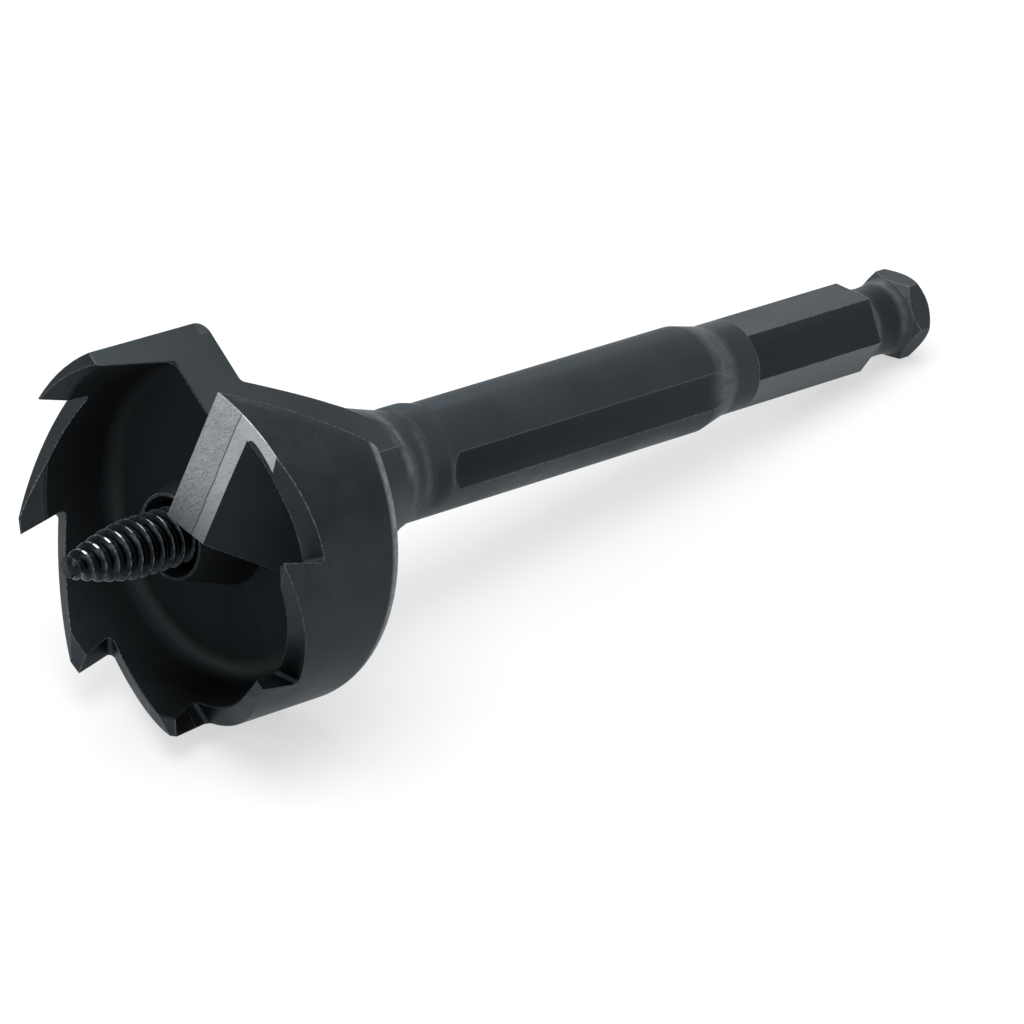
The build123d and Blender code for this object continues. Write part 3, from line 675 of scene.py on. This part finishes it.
broken = add(tree, "MapRange", (grain, 0.42, 0.60, 0.10, 0.85))
worn_already = strongest(tree, wall_outline, worn_front)
elsewhere = add(tree, "MapRange", (worn_already, 0.0, 1.0, 1.0, 0.35))
not_low = add(tree, "MapRange", (facing(tree, at, HEAD_LOW_SIDE), 0.2, 0.8, 1.0, 0.35))
behind_head = add(tree, "MapRange", (at.depth, 19.0, 22.0))
rub = overlap(tree, edge_mask, broken, elsewhere, strongest(tree, not_low, behind_head))
# Painted highlight along the head's rounded back edge, strongest on one side
uneven = add(tree, "MapRange", (scale_pits, 0.32, 0.60, 0.35, 0.75))
highlight_side = add(tree, "MapRange", (facing(tree, at, HIGHLIGHT_SIDE), -0.2, 0.4, 0.15, 1.0))
back_edge_highlight = overlap(tree, back_edge(tree, at), uneven, highlight_side)
colour = add(tree, "Mix", (strongest(tree, rub, back_edge_highlight), colour, RUB_AND_HIGHLIGHT), data_type="RGBA")
print("with rubbed edges:", len(tree.nodes), "nodes")

# %% The glint along the ground strip's outer edge
RIM_GLINT = to_linear("d4d8da")
GLINT_RADIUS, GLINT_FROM, GLINT_TO = 25.31, 3.5, 10.8

at_rim = add(tree, "Math", (at.radius, GLINT_RADIUS), operation="GREATER_THAN")
on_strip = between(tree, behind_edge, GLINT_FROM, GLINT_TO, 0.8)
here_and_there = add(tree, "MapRange", (scale_pits, 0.42, 0.56, 0.1, 0.8))
glint = overlap(tree, blade_mask, at_rim, on_strip, here_and_there)
colour = add(tree, "Mix", (glint, colour, RIM_GLINT), data_type="RGBA")
print("glint from", GLINT_FROM, "to", GLINT_TO, "mm behind the cutting edge")

# %% Roughness, relief and the glancing reflection
SATIN, CUP_ROUGHNESS = (0.38, 0.54), 0.72
RELIEF, RELIEF_STRENGTH = 0.02, 0.35
EDGE_TINT, DULL_EDGE_TINT = to_linear("e6ebee"), to_linear("ccd1d4")
SHANK_UPPER_SIDE = radians(80.0)

satin = add(tree, "MapRange", (drying, 0.3, 0.7, *SATIN))
in_cup = add(tree, "Math", (cup_mask, CUP_ROUGHNESS), operation="MULTIPLY")
roughness = add(tree, "Math", (satin, in_cup), operation="MAXIMUM")
height = add(tree, "Math", (grain, 0.6, scale_pits), operation="MULTIPLY_ADD")
bumped = add(tree, "Bump", {"Strength": RELIEF_STRENGTH, "Distance": RELIEF * MM, "Height": height,
                            "Normal": round_normal})
# Dried oil on the shank's upper side scatters the light that grazes it, so its glancing reflection is weaker
upward = add(tree, "MapRange", (facing(tree, at, SHANK_UPPER_SIDE), 0.70, 0.94))
upper_side = overlap(tree, upward, between(tree, at.depth, 40.0, 98.0, 3.0))
edge_tint = add(tree, "Mix", (upper_side, EDGE_TINT, DULL_EDGE_TINT), data_type="RGBA")
print("roughness from", SATIN[0], "to", CUP_ROUGHNESS)

# %% Put the finish on the body
shader = add(tree, "BsdfPrincipled", {"Base Color": colour, "Metallic": 1.0, "Roughness": roughness,
                                      "Specular Tint": edge_tint, "Normal": bumped})
add(tree, "OutputMaterial", (shader,))
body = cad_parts["bit_body"]
body.data.materials.clear()
body.data.materials.append(body_steel)
print("body finish:", body_steel.name, len(tree.nodes), "nodes")

# %% [markdown]
# ## The feed screw's thread
# The lead screw has a real wood-screw thread: one sharp ridge that winds back from a blunt tip over a core
# that widens. The CAD part has rings at the same pitch, which do for fit and weight but not for the eye. A
# helix can be swept with a modifier, but its start and its runout then need patching. It is simpler as one
# surface in turn and travel: at each point the radius is the core's plus the height of the ridge there, and
# the ridge is a function of how far the point is from the helix.

# %% Crest and ridge
PITCH, TURNS = 1.75, 12
THREAD_LENGTH = PITCH * TURNS
THREAD_RADIUS, RIDGE_HEIGHT = 3.95, 0.85
WIDENING = 0.57  # the share of the thread over which it widens
RIDGE_FOOT, RIDGE_CREST, HELIX_START = 0.34, 0.07, 0.217  # shares of the pitch
VALLEY_START, VALLEY_RUN = 0.12, 0.9
FADE_END, FADE_RUN = THREAD_LENGTH + 0.3, 0.9


def crest_radius(travel):
    """Radius of the crest behind the tip: a quarter of a sine wave from the tip's radius, then level."""
    rising = np.clip(travel / (WIDENING * THREAD_LENGTH), 0, 1)
    return TIP_RADIUS + (THREAD_RADIUS - TIP_RADIUS) * np.sin(rising * pi / 2)


def ridge_share(travel, around):
    """Height of the ridge as a share of its full height. It depends on how far a point is from a right-hand
    helix, as a share of the pitch: full on a narrow crest, nothing past the foot of a 60 degree flank. At the
    tip the valley starts shallow, and at the end the ridge fades into the shank."""
    off_helix = np.abs(np.mod(travel / PITCH + around / (2 * pi) - HELIX_START + 0.5, 1.0) - 0.5)
    flank = np.clip((RIDGE_FOOT - off_helix) / (RIDGE_FOOT - RIDGE_CREST), 0, 1)
    valley = np.clip(travel / VALLEY_RUN + VALLEY_START, 0, 1)
    fades = np.clip((FADE_END - travel) / FADE_RUN, 0, 1)
    return (1 - (1 - flank) * valley) * fades


print("thread:", TURNS, "turns in", THREAD_LENGTH, "mm, widening over", round(WIDENING * TURNS, 1), "turns")

# %% The whole screw as a radius
SCREW_SHANK_RADIUS = 5 / 32 * INCH
RUNOUT = 0.6
SEAT_DEPTH, SEAT_CHAMFER = 47.5, 0.8
SCREW_END = TIP_REACH + SEAT_DEPTH
FLAT_DEPTH, FLAT_OFFSET, FLAT_ANGLE = 23.8, 2.9, radians(147.5)
FLAT_FROM = TIP_REACH + FLAT_DEPTH
LOWEST_COSINE, NO_FLAT = 0.3, 99.0  # below that cosine the plane is far outside the shank


def screw_radius(travel, around):
    """Radius at a travel back from the tip and an angle about the axis: crest radius less the ridge's height
    plus the ridge, whose flanks fall from the helix to the core; then the plain shank, its end chamfer and
    the flat for the set screw, which is a plane: offset divided by the cosine of the angle from it."""
    thread = crest_radius(travel) - RIDGE_HEIGHT * (1 - ridge_share(travel, around))
    shank = thread + (SCREW_SHANK_RADIUS - thread) * np.clip((travel - THREAD_LENGTH) / RUNOUT, 0, 1)
    radius = np.where(travel < THREAD_LENGTH, thread, shank)
    chamfer = SCREW_SHANK_RADIUS - SEAT_CHAMFER + np.maximum(SCREW_END - travel, 0)
    radius = np.minimum(radius, chamfer)
    cosine = np.cos(around - FLAT_ANGLE)
    flat = np.where(cosine > LOWEST_COSINE, FLAT_OFFSET / np.maximum(cosine, LOWEST_COSINE), NO_FLAT)
    return np.where(travel > FLAT_FROM, np.minimum(radius, flat), radius)


print("screw:", round(SCREW_END, 1), "mm long, shank", round(2 * SCREW_SHANK_RADIUS, 2), "mm across")

# %% A closed surface of points about the bit's axis
AROUND = 160


def closed_surface(travel, radius_of):
    """Points and faces of a closed surface about the bit's axis. A row of points at each travel lies at the
    given radius, the cosine and sine of its angle times it. Quads join each row to the next, and triangles
    join each end row to a middle point. Also gives the travel and angle of every point of the rows."""
    angles = np.linspace(0, 2 * pi, AROUND, endpoint=False)
    t, a = np.meshgrid(travel, angles, indexing="ij")
    r = radius_of(t, a)
    local = np.stack([r * np.cos(a), r * np.sin(a), TIP_REACH - t], -1).reshape(-1, 3)
    middles = np.array([[0, 0, TIP_REACH - travel[0]], [0, 0, TIP_REACH - travel[-1]]])
    points = np.array(rim_centre) + np.vstack([local, middles]) @ (np.array(bit_axes).T * MM)

    rows = len(travel)
    row, here = np.meshgrid(np.arange(rows - 1), np.arange(AROUND), indexing="ij")
    row, after = row * AROUND, (here + 1) % AROUND
    quads = np.stack([row + here, row + AROUND + here, row + AROUND + after, row + after], -1).reshape(-1, 4)
    here = np.arange(AROUND)
    after = (here + 1) % AROUND
    last_row, first_middle = (rows - 1) * AROUND, rows * AROUND
    front = np.stack([np.full(AROUND, first_middle), here, after], -1)
    back = np.stack([np.full(AROUND, first_middle + 1), last_row + after, last_row + here], -1)
    return points, quads.tolist() + front.tolist() + back.tolist(), t, a


print("each row is", AROUND, "points round")

# %% Rows of the screw: close on the thread, far apart on the plain shank
ROWS_PER_TURN, SHANK_ROWS = 26, 12

travel_rows = np.unique(np.concatenate([
    np.linspace(0, THREAD_LENGTH + 0.7, ROWS_PER_TURN * TURNS),
    [FLAT_FROM - 0.001, FLAT_FROM + 0.001],
    np.linspace(THREAD_LENGTH + 3, SCREW_END - SEAT_CHAMFER, SHANK_ROWS),
    [SCREW_END],
]))
points, faces, travel, around = closed_surface(travel_rows, screw_radius)
print("rows:", len(travel_rows), "points:", len(points), "faces:", len(faces))

# %% The lead screw
# The blunt tip counts as less than a full crest, so it gets less of the lighter crest colour and its painted
# highlight
TIP_RIDGE, TIP_FADE = 0.72, 2.0

screw_mesh = bpy.data.meshes.new("lead_screw")
screw_mesh.from_pydata(points.tolist(), [], faces)
screw_mesh.validate()
screw_mesh.polygons.foreach_set("use_smooth", np.ones(len(screw_mesh.polygons), bool))
rubbed = ridge_share(travel, around) * np.clip(TIP_RIDGE + travel / TIP_FADE, 0, 1)
ridge_heights = screw_mesh.attributes.new("ridge", "FLOAT", "POINT")
ridge_heights.data.foreach_set("value", np.append(rubbed.ravel(), [TIP_RIDGE, 0.0]))

lead_screw = bpy.data.objects.new("lead_screw", screw_mesh)
scene.collection.objects.link(lead_screw)
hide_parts("feed_screw")
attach(lead_screw, "root")
print("lead screw:", len(screw_mesh.vertices), "points,", len(screw_mesh.polygons), "faces")

# %% [markdown]
# ## Oiled screw steel
# The feed screw is turned, blackened and oiled. The valleys are painted nearly black, as shade, and stay
# glossy. The crests are a lighter rubbed grey with a painted highlight, and near the tip they carry short
# white painted glints. A position could find crests on rings but not on a helix, so the mesh carries the
# ridge's height as an attribute.

# %% Painted shade in the valleys, and rubbed crests with a painted highlight
VALLEY_SHADE, FLANK = to_linear("131618"), to_linear("282c2f")
STANDING_OIL, CREST_RUB_AND_HIGHLIGHT = to_linear("0e1012"), to_linear("6c7174")
WEAR_SIZE, OIL_SIZE = 0.9, 0.7

screw_steel, tree = new_material("oiled_black_oxide_on_turned_steel")
point = bit_point(tree)
at = measured(tree, point)
wear = add(tree, "TexNoise", (point, 1 / WEAR_SIZE, 4.0, 0.6))
oil = add(tree, "TexNoise", (point, 1 / OIL_SIZE, 3.0, 0.6))
ridge = add(tree, "Attribute", attribute_name="ridge").outputs["Fac"]

# Darker down in the valleys: painted shade
up_the_flank = add(tree, "MapRange", (ridge, 0.15, 0.85))
colour = add(tree, "Mix", (up_the_flank, VALLEY_SHADE, FLANK), data_type="RGBA")
oil_spots = add(tree, "MapRange", (oil, 0.40, 0.58, 0.0, 0.7))
colour = add(tree, "Mix", (oil_spots, colour, STANDING_OIL), data_type="RGBA")
# Lighter crests: partly rubbed steel, partly a painted highlight
on_crest = add(tree, "MapRange", (ridge, 0.88, 0.98))
worn = add(tree, "MapRange", (wear, 0.42, 0.64, 0.05, 0.60))
colour = add(tree, "Mix", (overlap(tree, on_crest, worn), colour, CREST_RUB_AND_HIGHLIGHT), data_type="RGBA")
print("screw colour:", len(tree.nodes), "nodes")

# %% Painted glints on the crests
# Near the tip, short bright strokes on one side of the crests are painted glints
GLINT_WHITE = to_linear("e0e3e5")
GLINT_SIDE = radians(40.0)

on_glint_side = add(tree, "MapRange", (facing(tree, at, GLINT_SIDE), 0.980, 0.996))
near_tip = add(tree, "MapRange", (at.depth, -8.0, -5.5, 1.0, 0.10))
# Painted glints: bright strokes on the crests near the tip
bare = overlap(tree, on_glint_side, near_tip, add(tree, "MapRange", (ridge, 0.90, 0.97)))
colour = add(tree, "Mix", (bare, colour, GLINT_WHITE), data_type="RGBA")
print("bare strokes at", round(degrees(GLINT_SIDE)), "degrees")

# %% Gloss and relief of the screw
SCREW_GLOSS = (0.14, 0.32)
SCREW_RELIEF, SCREW_RELIEF_SIZE, SCREW_RELIEF_STRENGTH = 0.03, 0.5, 0.5

glossy = add(tree, "MapRange", (wear, 0.3, 0.7, *SCREW_GLOSS))
polished = add(tree, "MapRange", (ridge, 0.88, 0.98, 1.0, 0.6))
roughness = add(tree, "Math", (glossy, polished), operation="MULTIPLY")
height = add(tree, "TexNoise", (point, 1 / SCREW_RELIEF_SIZE, 4.0, 0.6))
bumped = add(tree, "Bump", {"Strength": SCREW_RELIEF_STRENGTH, "Distance": SCREW_RELIEF * MM,
                            "Height": height})
shader = add(tree, "BsdfPrincipled", {"Base Color": colour, "Metallic": 1.0, "Roughness": roughness,
                                      "Specular Tint": EDGE_TINT, "Normal": bumped})
add(tree, "OutputMaterial", (shader,))
lead_screw.data.materials.append(screw_steel)
print("screw finish:", screw_steel.name, len(tree.nodes), "nodes")

# %% [markdown]
# ## Set screw steel
# The set screw is hardened and blackened, and sits in its hole where nothing rubs it. It could share the
# body's material, but nothing on it is forged, ground or rubbed. So it has one plain dark finish, a little
# cloudy from the bath and smoother than the forging round it.

# %% Set screw
SET_DARK, SET_LIGHT = to_linear("26292b"), to_linear("34373a")
BATH_CLOUD_SIZE, GLOSS_CLOUD_SIZE = 1.5, 0.6
SET_GLOSS = (0.30, 0.45)

set_steel, tree = new_material("black_oxide_on_set_screw_steel")
point = bit_point(tree)
bath_clouds = add(tree, "TexNoise", (point, 1 / BATH_CLOUD_SIZE, 3.0, 0.5))
colour = add(tree, "Mix", (bath_clouds, SET_DARK, SET_LIGHT), data_type="RGBA")
gloss_clouds = add(tree, "TexNoise", (point, 1 / GLOSS_CLOUD_SIZE, 3.0, 0.5))
roughness = add(tree, "MapRange", (gloss_clouds, 0.0, 1.0, *SET_GLOSS))
shader = add(tree, "BsdfPrincipled", {"Base Color": colour, "Metallic": 1.0, "Roughness": roughness})
add(tree, "OutputMaterial", (shader,))
set_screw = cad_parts["set_screw"]
set_screw.data.materials.clear()
set_screw.data.materials.append(set_steel)
print("set screw finish:", set_steel.name, len(tree.nodes), "nodes")

# %% [markdown]
# ## How the colours are shown
# The colours are shown as they are, without a film-like curve.

# %% Colours without a film-like curve
scene.view_settings.view_transform = "Standard"
